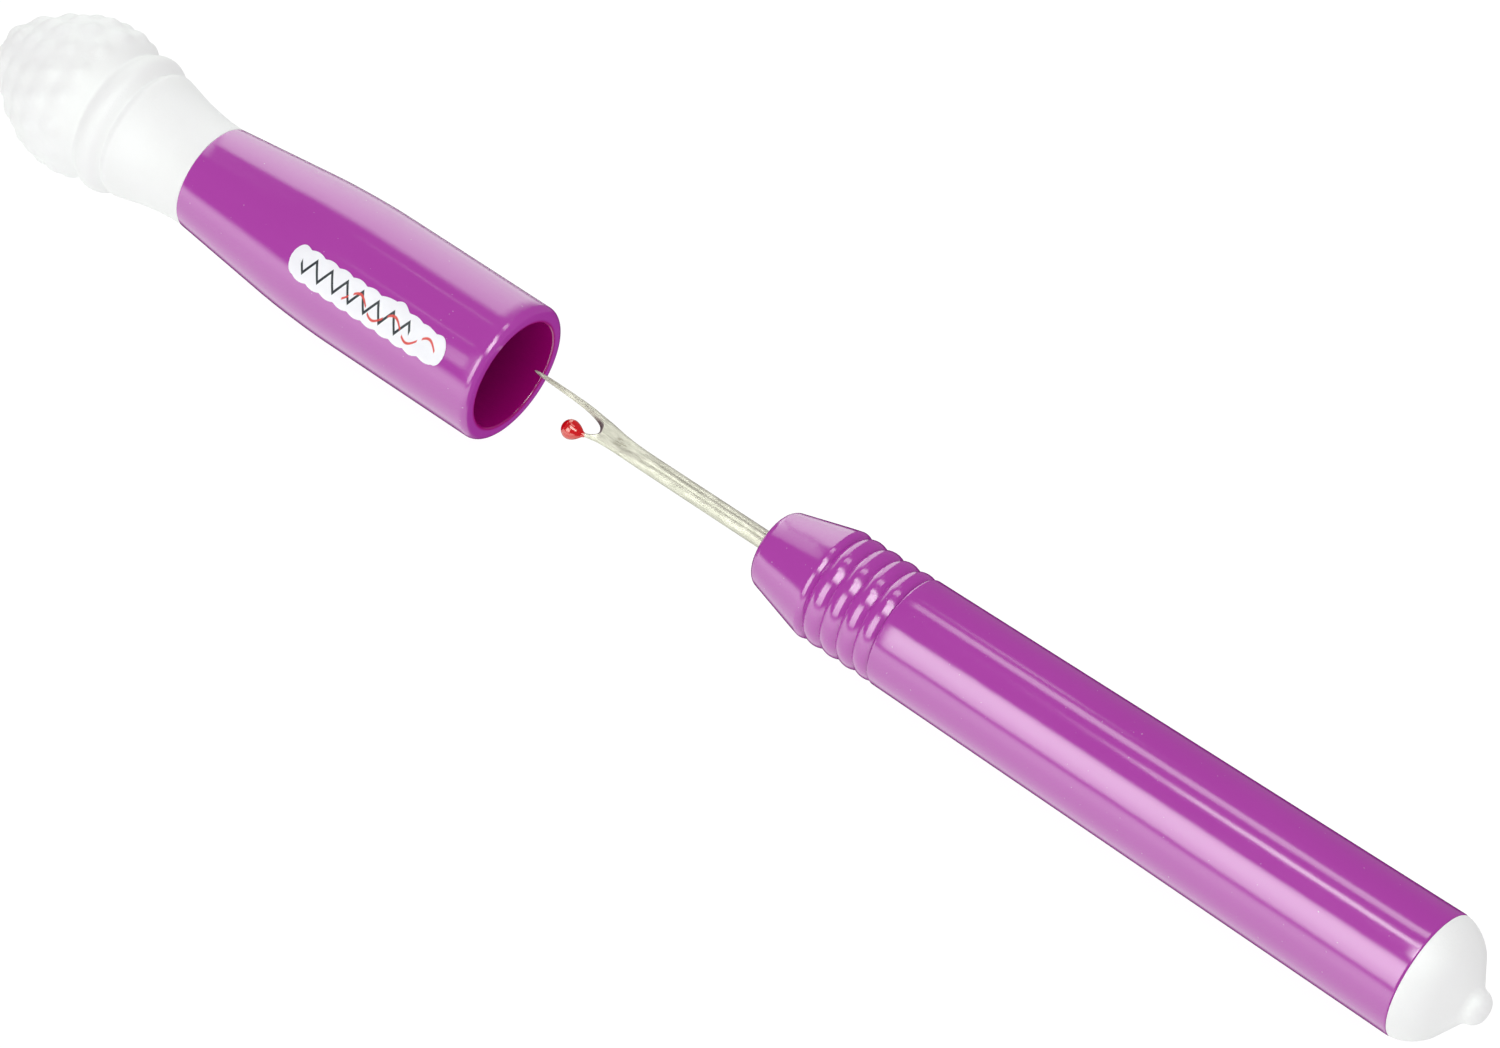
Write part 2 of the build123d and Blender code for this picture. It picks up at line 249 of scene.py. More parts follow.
def reflector(name, start, end, glow):
    """A strip of glowing tube around the axis. Its glow is a list of (bearing, brightness)."""
    first, last = glow[0][0], glow[-1][0]
    brightest = max(brightness for _, brightness in glow)
    shape = bmesh.new()
    spread = shape.loops.layers.uv.new("spread")
    steps = max(2, round((last - first) / degrees_per_step))
    rows = []
    for step in range(steps + 1):
        bearing = math.radians(first + (last - first) * step / steps)
        outward = Vector((0, math.cos(bearing), math.sin(bearing))) * reflector_reach
        rows.append([
            shape.verts.new(Vector((x, 0, axis_height * MM)) + outward) for x in (start, end)
        ])
    for step in range(steps):
        near, far = rows[step], rows[step + 1]
        face = shape.faces.new((near[0], near[1], far[1], far[0]))
        shares = (step / steps, step / steps, (step + 1) / steps, (step + 1) / steps)
        for corner, share, along in zip(face.loops, shares, (0, 1, 1, 0)):
            corner[spread].uv = (share, along * (end - start))
    data = bpy.data.meshes.new(name)
    shape.to_mesh(data)
    shape.free()
    strip = bpy.data.objects.new(name, data)
    scene.collection.objects.link(strip)
    strip.visible_camera = False
    strip.visible_diffuse = False
    strip.visible_shadow = False
    strip.visible_transmission = False

    paint = Finish(name, Base_Color=colour(0, 0, 0), Specular_IOR_Level=0.0)
    paint.shader.inputs["Emission Strength"].default_value = brightest
    share, along, _ = paint.parts(paint.node("UVMap", {"uv_map": "spread"}))
    stops = []
    for bearing, brightness in glow:
        position = (bearing - first) / (last - first)
        level = brightness / brightest
        stops.append((position, colour(*(level * tint for tint in reflector_tint))))
    profile = paint.node("ValToRGB", {"stops": stops}, {0: share})
    ends = along.above(reflector_fade, reflector_fade)
    ends = ends * along.below(end - start - reflector_fade, reflector_fade)
    paint.feed("Emission Color", paint.blend(ends, colour(0, 0, 0), profile))
    data.materials.append(paint.material)


reflector("floor_reflector", -0.40, 0.80, [
    (-150, 0), (-106, 0), (-94, 0.3), (-84, 1.6), (-71, 1.9), (-41, 2.5), (-20, 3.4), (-5, 4.7),
    (2, 4.7), (9, 1.8), (13, 0),
])
reflector("broad_reflector", -0.14, 0.155, [
    (7, 0), (12, 2.2), (17, 7.5), (24, 8.5), (34, 10.5), (48, 10.8), (55, 8.0), (59, 0),
])
reflector("patch_reflector", 0.170, 0.205, [(23, 0), (29, 12), (42, 12), (48, 0)])
reflector("long_streak", -0.14, 0.135, [(106, 0), (110, 6.0), (117, 6.5), (120, 0)])
reflector("rear_streak", -0.14, 0.083, [(85, 0), (88, 13), (92, 13), (95, 0)])
reflector("front_streak", 0.076, 0.117, [(124, 0), (127, 6.0), (129, 6.0), (132, 0)])
reflector("cap_streak_high", 0.172, 0.225, [(105, 0), (107, 4.0), (109, 0)])
reflector("cap_streak_low", 0.172, 0.225, [(62, 0), (64, 4.0), (66, 0)])
reflector("overhead_reflector", -0.45, 0.008, [(64, 0), (72, 14), (90, 14), (98, 0)])
reflector("side_reflector", 0.165, 0.37, [
    (121, 0), (131, 4.6), (150, 4.6), (170, 3.8), (190, 2.5), (215, 1.5), (240, 1.2),
])
reflector("nose_reflector", 0.355, 0.62, [
    (86, 0), (95, 2.6), (118, 3.9), (140, 5.4), (165, 5.4), (190, 3.0), (215, 0),
])

# %% Key card
card_size = 0.5
card_brightness = 0.9
card_place = (0, 0.30, 0.53)
card_tilt = -30

key_light = bpy.data.lights.new("key_card", "AREA")
key_light.shape = "RECTANGLE"
key_light.size = card_size
key_light.size_y = card_size
key_light.energy = card_brightness * math.pi * card_size * card_size
key_card = bpy.data.objects.new("key_card", key_light)
key_card.location = card_place
key_card.rotation_euler = (math.radians(card_tilt), 0, 0)
key_card.visible_glossy = False
scene.collection.objects.link(key_card)
print(len(bpy.data.materials), "reflectors and", len(bpy.data.lights), "card")

# %% [markdown]
# The world is even white daylight. It lights the matt surfaces fully, but reflections see it
# much darker, so that the reflectors keep their contrast on the polished plastic. The floor is
# a plain sheet that glows a little by itself, which keeps it pale right up to the tool.

# %% World and floor
daylight_on_surfaces = 0.85
daylight_in_reflections = 0.25
floor_size = 4.0
floor_tone = 0.12
floor_glow = 0.94

world = bpy.data.worlds.new("studio_daylight")
world.use_nodes = True
world_nodes = world.node_tree.nodes
world_links = world.node_tree.links
daylight = world_nodes["Background"]
daylight.inputs["Color"].default_value = (1.0, 1.0, 1.0, 1.0)
ray_kind = world_nodes.new("ShaderNodeLightPath")
dimming = world_nodes.new("ShaderNodeMapRange")
dimming.inputs["To Min"].default_value = daylight_on_surfaces
dimming.inputs["To Max"].default_value = daylight_in_reflections
world_links.new(ray_kind.outputs["Is Glossy Ray"], dimming.inputs["Value"])
world_links.new(dimming.outputs["Result"], daylight.inputs["Strength"])
scene.world = world

floor_mesh = bmesh.new()
bmesh.ops.create_grid(floor_mesh, x_segments=1, y_segments=1, size=floor_size)
floor_data = bpy.data.meshes.new("studio_floor")
floor_mesh.to_mesh(floor_data)
floor_mesh.free()
floor = bpy.data.objects.new("studio_floor", floor_data)
scene.collection.objects.link(floor)
floor.visible_glossy = False

floor_paint = Finish(
    "studio_floor",
    Base_Color=colour(floor_tone, floor_tone, floor_tone),
    Roughness=0.9,
    Specular_IOR_Level=0.0,
    Emission_Color=colour(1, 1, 1),
    Emission_Strength=floor_glow,
)
floor_data.materials.append(floor_paint.material)

scene.view_settings.view_transform = "Standard"
scene.view_settings.look = "None"
print("floor of", floor.dimensions.x, "metres")

# %% [markdown]
# The handle and the cap are moulded from one purple plastic with a high polish. Polished
# plastic is never quite flat: it has a faint waviness, a haze of handling scuffs along its
# length, and a thin parting line where the two halves of the mould met. The parting line is
# found by its turn around the axis, so it runs the whole length of both pieces. The cap's bore
# is painted a deeper tone, as painted shade where light gets lost inside the cap.

# %% Purple plastic
deep_purple = colour(0.390, 0.038, 0.362)
light_purple = colour(0.424, 0.050, 0.390)
dust_tone = colour(0.75, 0.55, 0.74)
# Painted shade for the inside of the cap's bore.
painted_bore_shade = colour(0.34, 0.0010, 0.17)
parting_turn = 118
bore_depth = 24
bore_width = 6.5


def purple_plastic(name, bore_shade=None):
    """Polished plastic. The painted shade of a bore is (how far along it ends, how wide it is), in
    millimetres.
    """
    finish = Finish(name, Roughness=0.1, IOR=1.5)
    x, y, z = finish.parts(finish.place())
    cloud = finish.noise(finish.stretched((0.3, 1, 1)), 160, 3)
    tone = finish.blend(cloud, deep_purple, light_purple)
    dust = finish.noise(finish.place(), 2600, 1).above(0.79, 0.02)
    surface = finish.blend(dust * 0.35, tone, dust_tone)
    height = z - axis_height * MM
    # Painted shade: the inside of the cap's bore is darkened.
    if bore_shade:
        bore_end, bore_reach = bore_shade
        reach = (y * y + height * height).math("SQRT")
        depth = reach.below(bore_reach * MM, 0.00018) * x.below(bore_end * MM, 0.001)
        surface = finish.blend(depth, surface, painted_bore_shade)
    finish.feed("Base Color", surface)

    scuffs = finish.noise(finish.stretched((0.08, 1, 1)), 2200, 4, 0.65)
    finish.feed("Roughness", 0.085 + 0.09 * scuffs)

    turn = height.math("ARCTAN2", y)
    parting = abs(turn - math.radians(parting_turn)).below(0.010, 0.006)
    ripple = finish.noise(finish.stretched((0.5, 1, 1)), 420, 2)
    finish.relief(ripple + 0.45 * parting + 0.03 * scuffs, 0.000012)
    return finish.material


barrel_plastic = purple_plastic("barrel_plastic")
cap_plastic = purple_plastic("cap_plastic", bore_shade=(mouth + bore_depth, bore_width))
print("purple plastic for", barrel_plastic.name, "and", cap_plastic.name)

# %% [markdown]
# The blade is drawn steel wire with a dull nickel plating. Drawing leaves fine lines along the
# wire, and plating in a barrel leaves it mottled, bright where pieces rubbed and grey in the
# hollows. Both patterns are noise, one of them stretched along the wire. Three marks have a
# place of their own: painted shade darkens the two flutes and the lower half of the wire, a
# punch mark sits behind the fork, and the crotch's wall, which faces forwards, carries a dark
# painted reflection and shade.

# %% Nickel plating
drawn_tone = colour(0.41, 0.37, 0.33)
worn_tone = colour(0.30, 0.268, 0.235)
bright_tone = colour(0.53, 0.48, 0.435)
pit_tone = colour(0.16, 0.135, 0.115)
# Painted shade, used in the flutes and on the lower half of the wire.
painted_shade_tone = colour(0.20, 0.175, 0.15)
punch_tone = colour(0.15, 0.12, 0.09)
# Painted reflection and shade for the crotch wall.
painted_crotch_shade = colour(0.075, 0.035, 0.055)

flute_middle = 78
flute_turn = 18
flute_end = (nose + 17) * MM
underside_shade_end = (nose + 20) * MM
punch_place = (nose + 20.1) * MM
crotch_shade_start = (nose + 22.4) * MM
crotch_shade_end = (nose + 25.4) * MM

nickel = Finish("nickel_plating", Metallic=0.4, IOR=1.5)
drawn_lines = nickel.noise(nickel.stretched((0.03, 1, 1)), 3400, 3, 0.6)
mottle = nickel.noise(nickel.stretched((0.22, 1, 1)), 2600, 5, 0.62)
pits = nickel.noise(nickel.place(), 6500, 2).above(0.68, 0.08)
lines = nickel.blend(drawn_lines.above(0.54, 0.07), drawn_tone, worn_tone)
bright = nickel.blend(mottle.above(0.53, 0.18), lines, bright_tone)
plated = nickel.blend(pits * 0.4, bright, pit_tone)

ahead, aside, above = nickel.parts(nickel.place())
turn = (above - axis_height * MM).math("ARCTAN2", aside)
# Painted shade: the two flutes are darkened along the wire.
from_flute = abs(abs(turn - math.radians(flute_middle)) - math.radians(flute_turn))
flute_shade = from_flute.below(math.radians(4), math.radians(3)) * ahead.below(flute_end, 0.0015)
plated = nickel.blend(flute_shade * 0.55, plated, painted_shade_tone)
# Painted shade: the lower half of the wire is darkened.
underside_shade = turn.below(math.radians(4), math.radians(9)) * ahead.below(underside_shade_end, 0.002)
plated = nickel.blend(underside_shade * 0.3, plated, painted_shade_tone)

punched = abs(ahead - punch_place).below(0.0008, 0.0003) * abs(aside).below(0.0005, 0.0002)
punched = punched * mottle.above(0.5, 0.05)
plated = nickel.blend(punched * 0.75, plated, punch_tone)

# Painted reflection and shade: the forward-facing wall of the crotch is darkened.
facing, _, _ = nickel.parts(nickel.node("TexCoord", output="Normal"))
crotch_shade = ahead.above(crotch_shade_start, 0.0002) * ahead.below(crotch_shade_end, 0.0008)
crotch_shade = facing.above(0.24, 0.10) * crotch_shade
nickel.feed("Base Color", nickel.blend(crotch_shade * 0.85, plated, painted_crotch_shade))
nickel.feed("Roughness", 0.40 + 0.18 * mottle)
nickel.relief(0.5 * drawn_lines + 0.5 * mottle - 0.5 * pits, 0.000006)
print("nickel plating ready")

# %% [markdown]
# The bead is dipped enamel, with a wet gloss and a faint swirl of lighter red. The rubber is
# soft and matt with a fine grain. The plug is plain natural plastic, and is hidden
# between the barrel and the rubber tip.

# %% Red enamel
enamel = Finish("red_enamel", Roughness=0.10, IOR=1.54)
swirl = enamel.noise(enamel.place(), 900, 3)
deep_red = colour(0.56, 0.003, 0.006)
light_red = colour(0.68, 0.006, 0.012)
enamel.feed("Base Color", enamel.blend(swirl, deep_red, light_red))
enamel.relief(enamel.noise(enamel.place(), 500, 1), 0.000002)

# %% White rubber
rubber = Finish("white_rubber", Roughness=0.62, IOR=1.42)
grain = rubber.noise(rubber.place(), 4200, 4, 0.6)
patches = rubber.noise(rubber.place(), 140, 3)
warm_white = colour(0.80, 0.795, 0.795)
cool_white = colour(0.86, 0.855, 0.87)
rubber.feed("Base Color", rubber.blend(patches, warm_white, cool_white))
rubber.feed("Roughness", 0.52 + 0.2 * grain)
rubber.relief(grain + 0.6 * patches, 0.00003)

# %% Natural plastic of the plug
natural = Finish("natural_plastic", Roughness=0.5)
flow = natural.noise(natural.stretched((0.2, 1, 1)), 500, 3)
grey_white = colour(0.66, 0.66, 0.63)
milk_white = colour(0.78, 0.78, 0.76)
natural.feed("Base Color", natural.blend(flow, grey_white, milk_white))
natural.feed("Roughness", 0.4 + 0.2 * flow)
natural.relief(flow, 0.00002)
plug_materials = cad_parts["tail_plug"].data.materials
plug_materials.clear()
plug_materials.append(natural.material)
print(len(bpy.data.materials), "materials so far")

# %% [markdown]
# A turned piece starts as one flat face: its section on one side of the axis. Vertex bevels
# round the corners of that face, each by its own amount. Then the face itself is thrown away,
# its outline is spun about the axis, and doubles on the seam and at the poles are merged.

# %% Turning
ROUNDING_SEGMENTS = 8
MERGE_DISTANCE = 1e-4


def turned(corners, steps=144, longest=None):
    """Spins a closed section about the tool's axis. A corner is (x, reach, rounding)."""
    shape = bmesh.new()
    outline = [shape.verts.new((x, 0, axis_height + reach)) for x, reach, _ in corners]
    shape.faces.new(outline)
    for vertex, (_, _, rounding) in zip(outline, corners):
        if rounding:
            bmesh.ops.bevel(
                shape,
                geom=[vertex],
                offset=rounding,
                segments=ROUNDING_SEGMENTS,
                profile=0.5,
                affect="VERTICES",
                material=-1,
            )
    bmesh.ops.delete(shape, geom=shape.faces[:], context="FACES_ONLY")
    on_axis = [
        edge
        for edge in shape.edges
        if all(abs(vertex.co.z - axis_height) < 1e-6 for vertex in edge.verts)
    ]
    bmesh.ops.delete(shape, geom=on_axis, context="EDGES")
    if longest:
        for edge in shape.edges[:]:
            cuts = int(edge.calc_length() / longest)
            if cuts:
                bmesh.ops.subdivide_edges(shape, edges=[edge], cuts=cuts)
    bmesh.ops.spin(
        shape,
        geom=shape.verts[:] + shape.edges[:],
        cent=axis_point,
        axis=(1, 0, 0),
        angle=2 * math.pi,
        steps=steps,
        use_merge=True,
    )
    bmesh.ops.remove_doubles(shape, verts=shape.verts[:], dist=MERGE_DISTANCE)
    bmesh.ops.recalc_face_normals(shape, faces=shape.faces[:])
    return shape


def finished(shape, name, body, material, replaced, sharp=35):
    """Turns a bmesh in millimetres into a piece in metres that rides on its body."""
    bmesh.ops.scale(shape, vec=(MM, MM, MM), verts=shape.verts[:])
    data = bpy.data.meshes.new(name)
    shape.to_mesh(data)
    shape.free()
    data.shade_smooth()
    data.set_sharp_from_angle(angle=math.radians(sharp))
    data.materials.append(material)
    piece = bpy.data.objects.new(name, data)
    scene.collection.objects.link(piece)
    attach(piece, body)
    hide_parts(replaced)
    print(name, len(data.polygons), "faces", [round(size / MM, 2) for size in piece.dimensions])
    return piece


# %% [markdown]
# The barrel is a slim cone, a touch thicker at the rear, with four rounded grip rings and a
# short nose. Each ring is drawn as a plain triangle whose tip is rounded by the whole length
# of its sides, which makes an arc that meets the grooves at a clean angle. Inside, a boss
# behind the nose holds the blade's tang, and the rest is hollow.

# %% Handle barrel
barrel_length = 65.4
rear_reach = 7.04
front_reach = 6.17
barrel_wall = 1.6
ring_count = 4
ring_pitch = 2.12
groove_reach = 5.77
ring_tip_height = 0.98
ring_side = 1.44
shoulder_length = 1.7
nose_reach = 4.15
tang_reach = 1.1
tang_length = 13.0
boss_reach = 2.9
boss_length = 2.0
nose_wall = 6.0

barrel_front = rear + barrel_length
rings_end = barrel_front + ring_count * ring_pitch
tang_end = nose - tang_length
boss_end = tang_end - boss_length
barrel_corners = [
    (rear, rear_reach - barrel_wall, 0),
    (rear, rear_reach, 0.3),
    (barrel_front, front_reach, 0.3),
    (barrel_front, groove_reach, 0),
]
for ring in range(ring_count):
    ring_middle = barrel_front + (ring + 0.5) * ring_pitch
    barrel_corners.append((ring_middle, groove_reach + ring_tip_height, ring_side))
    barrel_corners.append((ring_middle + ring_pitch / 2, groove_reach, 0))
barrel_corners += [
    (rings_end + 0.42, 6.3, 0.5),
    (rings_end + shoulder_length, 6.0, 0.9),
    (nose, nose_reach, 0.9),
    (nose, tang_reach, 0.08),
    (tang_end, tang_reach, 0),
    (tang_end, 0, 0),
    (boss_end, 0, 0),
    (boss_end, boss_reach, 0),
    (nose - nose_wall, boss_reach, 0),
    (nose - nose_wall, 4.2, 0),
    (barrel_front, front_reach - barrel_wall, 0),
]
finished(
    turned(barrel_corners, longest=1.5),
    "barrel", "handle", barrel_plastic, "handle_barrel", 30,
)

# %% [markdown]
# The rubber tip of the tail is a dome with a small nub. It grips the mushroom head of the
# hidden plug, so its section has that head's shape cut out of it.

# %% Tail tip
tail_reach = 7.0
post_reach = 2.3
post_end = rear - 1.7
post_head_reach = 3.1
post_head_end = rear - 2.9
tail_corners = [
    (rear, post_reach, 0),
    (rear, tail_reach, 0.12),
    (rear - 2.15, 6.78, 2.1),
    (rear - 5.35, 2.0, 0.5),
    (rear - 6.75, 1.7, 0.8),
    (tail_end, 0, 0),
    (post_head_end, 0, 0),
    (post_head_end, post_head_reach, 0),
    (post_end, post_head_reach, 0),
    (post_end, post_reach, 0),
]
finished(
    turned(tail_corners, longest=0.6),
    "tail_rubber", "handle", rubber.material, "tail_tip", 50,
)

# %% [markdown]
# The cap is a flared tube that slides over the rings. Beyond its waist it goes on as a hollow
# spigot, which carries the rubber head and has room for the fork. The mouth has a full, round
# edge. The flare is one wide rounding between two straight cones.

# %% Cap shell
mouth_reach = 7.91
wall_reach = 7.83
straight_length = 24.6
flare_rounding = 4.6
waist_reach = 5.97
bore_reach = 6.23
spigot_reach = 4.45
flange_reach = 5.4
flange_start = spigot_end - 1.5
point_bore_reach = 3.25
point_bore_end = spigot_end - 1.6
waist_wall = 1.45
shell_corners = [
    (mouth, bore_reach, 0.2),
    (mouth, mouth_reach, 0.8),
    (mouth + straight_length, wall_reach, flare_rounding),
    (waist, waist_reach, 0.12),
    (waist, spigot_reach, 0),
    (flange_start, spigot_reach, 0),
    (flange_start, flange_reach, 0),
    (spigot_end, flange_reach, 0),
    (spigot_end, 0, 0),
    (point_bore_end, 0, 0),
    (point_bore_end, point_bore_reach, 0),
    (waist - waist_wall, point_bore_reach, 0.3),
    (waist - waist_wall, 4.52, 0.6),
    (mouth + straight_length, bore_reach, flare_rounding),
]
finished(
    turned(shell_corners, steps=160, longest=1.5),
    "cap", "cap", cap_plastic, "cap_shell", 30,
)

# %% [markdown]
# The rubber head has a flaring neck, one round ring, and a dome with staggered rows of low
# knobs that catch thread ends. The knobs are modelled, because they show on the outline. A row
# further along the dome has fewer knobs, so they stay about the same size. Each vertex near a
# knob's middle is moved outwards by a smooth bump that ends at the knob's edge.

# %% Cap head
knob_reach = 1.6
knob_height = 0.40
knobs_start = waist + 13.9
head_corners = [
    (waist, spigot_reach, 0),
    (waist, 5.92, 0.1),
    (waist + 3.9, 6.02, 2.6),
    (waist + 9.2, 7.32, 0.25),
    (waist + 9.9, 6.95, 0.12),
    (waist + 11.5, 8.5, 1.25),
    (waist + 13.4, 7.35, 0.2),
    (waist + 15.0, 8.35, 1.1),
    (waist + 19.7, 8.5, 1.9),
    (waist + 25.6, 5.35, 2.4),
    (waist + 28.4, 2.9, 1.5),
    (head_end - 0.25, 0, 0),
    (spigot_end, 0, 0),
    (spigot_end, flange_reach, 0),
    (flange_start, flange_reach, 0),
    (flange_start, spigot_reach, 0),
]
head_shape = turned(head_corners, steps=180, longest=0.32)

# Each row is its distance from the waist, its reach and its number of knobs.
knob_rows = [
    (16.2, 8.25, 15),
    (19.0, 8.3, 15),
    (21.6, 7.5, 15),
    (24.0, 6.2, 12),
    (26.3, 4.6, 9),
    (28.2, 2.9, 6),
    (29.4, 0.0, 1),
]
knobs = []
for row, (along, reach, count) in enumerate(knob_rows):
    for step in range(count):
        knob_turn = 2 * math.pi * (step + 0.5 * (row % 2)) / count
        knobs.append(Vector((
            waist + along,
            reach * math.cos(knob_turn),
            axis_height + reach * math.sin(knob_turn),
        )))


def outside(place):
    """True on the dome's skin, and false on the wall of the hollow that the spigot fills."""
    beyond_spigot = place.x > spigot_end + 0.1
    past_hollow = (place.yz - axis_point.yz).length > 6
    return place.x > knobs_start and (beyond_spigot or past_hollow)


for vertex in [vertex for vertex in head_shape.verts if outside(vertex.co)]:
    gap = min((vertex.co - knob).length for knob in knobs)
    if gap < knob_reach:
        rise = (1 - (gap / knob_reach) ** 2) ** 2
        vertex.co += vertex.normal * knob_height * rise
print(len(knobs), "knobs on the head")
finished(
    head_shape, "head_rubber", "cap", rubber.material, "cap_head", 60,
)

# %% [markdown]
# The blade is one length of wire with its end flattened and split. It is grown ring by ring,
# as a plant grows: an open loop of edges is extruded, and the new loop is laid on the next
# cross-section. At the crotch the loop is closed across its middle, which makes two smaller
# loops, and each of those grows on into a prong. A Subdivision Surface modifier then rounds
# the facets, and makes the fork as smooth as forged wire.

# %% Growing rings
RING = 48
FLUTE_WIDTH = 9
DISH_WIDTH = 34


def ring_points(x, middle, half_width, half_height, squareness=1.0, flute=0.0, dish=0.0):
    """A cross-section: points around an oval, with two pairs of flutes along the wire."""
    points = []
    for step in range(RING):
        turn = 2 * math.pi * step / RING
        cosine, sine = math.cos(turn), math.sin(turn)
        across = math.copysign(abs(cosine) ** squareness, cosine)
        upward = math.copysign(abs(sine) ** squareness, sine)
        dip = 0.0
        for side in (flute_middle, flute_middle + 180):
            for offset in (-flute_turn, flute_turn):
                away = (math.degrees(turn) - side - offset) / FLUTE_WIDTH
                dip += flute * math.exp(-away * away)
        dip += dish * math.exp(-((math.degrees(turn) - 90) / DISH_WIDTH) ** 2)
        points.append(Vector((
            x,
            middle + (half_width - dip) * across,
            axis_height + (half_height - dip) * upward,
        )))
    return points


def grow(shape, loop, points):
    """Extrudes a loop of vertices by one step and lays the new loop on the given points."""
    pairs = zip(loop, loop[1:] + loop[:1])
    edges = [shape.edges.get(pair) for pair in pairs]
    grown = bmesh.ops.extrude_edge_only(shape, edges=edges)["geom"]
    fresh = {item for item in grown if isinstance(item, bmesh.types.BMVert)}
    following = []
    for vertex, point in zip(loop, points):
        neighbours = [edge.other_vert(vertex) for edge in vertex.link_edges]
        reached = next(neighbour for neighbour in neighbours if neighbour in fresh)
        reached.co = point
        following.append(reached)
    return following


print("a cross-section has", RING, "points")

# %% Blade: the wire up to the crotch
wire_reach = 1.03
tang_gap = 0.05
blade_shape = bmesh.new()
first_ring = ring_points(tang_end + tang_gap, 0, wire_reach, wire_reach)
loop = [blade_shape.verts.new(point) for point in first_ring]
for vertex, follower in zip(loop, loop[1:] + loop[:1]):
    blade_shape.edges.new((vertex, follower))
blade_shape.faces.new(reversed(loop))

# Each row is the distance from the nose's face, the middle, the half width, the half height,
# the squareness of the oval, the depth of the flutes and the depth of the punch mark on top.
wire_rows = [
    (-12.7, 0.0, 1.03, 1.03, 1.0, 0.0, 0.0),
    (-0.6, 0.0, 1.03, 1.03, 1.0, 0.15, 0.0),
    (0.6, 0.0, 1.03, 1.03, 1.0, 0.15, 0.0),
    (8.0, 0.0, 1.03, 1.03, 1.0, 0.15, 0.0),
    (15.0, 0.0, 1.03, 1.0, 1.0, 0.15, 0.0),
    (16.2, 0.0, 1.04, 0.97, 1.0, 0.13, 0.0),
    (17.4, -0.01, 1.06, 0.88, 0.97, 0.09, 0.0),
    (18.4, -0.03, 1.09, 0.74, 0.92, 0.03, 0.0),
    (19.2, -0.06, 1.13, 0.62, 0.86, 0.0, 0.02),
    (19.8, -0.09, 1.16, 0.56, 0.83, 0.0, 0.13),
    (20.5, -0.12, 1.20, 0.52, 0.80, 0.0, 0.15),
    (21.2, -0.17, 1.26, 0.49, 0.77, 0.0, 0.11),
    (21.8, -0.20, 1.32, 0.48, 0.75, 0.0, 0.02),
    (22.5, -0.235, 1.41, 0.47, 0.75, 0.0, 0.0),
]
for distance, *section in wire_rows:
    loop = grow(blade_shape, loop, ring_points(nose + distance, *section))
print("wire of", len(wire_rows), "sections")

# %% Blade: the crotch and the two prongs
quarter = RING // 4
top_vertex = loop[quarter]
bottom_vertex = loop[3 * quarter]
crotch_reach = 0.34
crotch_half_height = 0.46
saddle_end = nose + 22.81
rim_end = nose + 22.53
saddle_points = [(0.0, 0.30), (0.10, 0.14), (0.14, 0.0), (0.10, -0.14), (0.0, -0.30)]
saddle = [
    blade_shape.verts.new((saddle_end + forward, crotch_reach, axis_height + upward))
    for forward, upward in saddle_points
]
chain = [top_vertex, *saddle, bottom_vertex]
for vertex, follower in zip(chain, chain[1:]):
    blade_shape.edges.new((vertex, follower))
top_vertex.co = Vector((rim_end, crotch_reach, axis_height + crotch_half_height))
bottom_vertex.co = Vector((rim_end, crotch_reach, axis_height - crotch_half_height))

saddle_count = len(saddle_points)
OUTER_TURNS = [step * 180 / (RING / 2) for step in range(RING // 2 + 1)]
INNER_TURNS = [180 + step * 180 / (saddle_count + 1) for step in range(1, saddle_count + 1)]
GROUND_POINTS = 6
GROUND_POWER = 1.3


def prong(loop, first_turn, rows):
    """Grows a prong from one half of the split loop. Its inner side is ground to an edge."""
    for distance, middle, half_width, half_height in rows:
        points = []
        for place_on_ring, degrees in enumerate(OUTER_TURNS + INNER_TURNS):
            turn = math.radians(first_turn + degrees)
            sine = math.sin(turn)
            from_end = min(place_on_ring, len(OUTER_TURNS) - 1 - place_on_ring)
            if from_end < GROUND_POINTS:
                sine = math.copysign(abs(sine) ** GROUND_POWER, sine)
            points.append(Vector((
                nose + distance,
                middle + half_width * math.cos(turn),
                axis_height + half_height * sine,
            )))
        loop = grow(blade_shape, loop, points)
    blade_shape.faces.new(loop)


# Each row is the distance from the nose's face, the middle, the half width and half height.
prong([*loop[quarter:3 * quarter + 1], *reversed(saddle)], 90, [
    (23.05, -0.88, 0.84, 0.46),
    (23.30, -1.07, 0.68, 0.46),
    (23.65, -1.22, 0.55, 0.45),
    (24.25, -1.37, 0.47, 0.43),
    (25.00, -1.53, 0.42, 0.39),
    (26.00, -1.66, 0.37, 0.36),
    (27.70, -1.77, 0.33, 0.32),
    (30.20, -1.83, 0.295, 0.29),
    (31.80, -1.86, 0.255, 0.25),
    (32.70, -1.88, 0.19, 0.19),
    (33.15, -1.885, 0.11, 0.11),
    (33.37, -1.885, 0.03, 0.03),
])
prong([*loop[3 * quarter:], *loop[:quarter + 1], *saddle], 270, [
    (23.05, 0.91, 0.36, 0.45),
    (23.30, 1.04, 0.27, 0.40),
    (23.60, 1.17, 0.21, 0.31),
    (24.20, 1.35, 0.19, 0.23),
    (25.00, 1.52, 0.17, 0.18),
    (25.50, 1.60, 0.12, 0.12),
])
bmesh.ops.recalc_face_normals(blade_shape, faces=blade_shape.faces[:])
blade = finished(
    blade_shape, "fork_blade", "handle", nickel.material, "blade", 180,
)
smoothing = blade.modifiers.new("smooth_forging", "SUBSURF")
smoothing.levels = smoothing.render_levels = 2
print("blade grown to", round(blade.dimensions.x / MM, 2), "mm")

# %% [markdown]
# The bead on the short prong keeps the fork from cutting the cloth. It was dipped, so it is a
# drop: round in front, and drawn out to a neck where the enamel ran back along the prong. It
# is turned like the other round pieces, then tilted to lie along the prong.

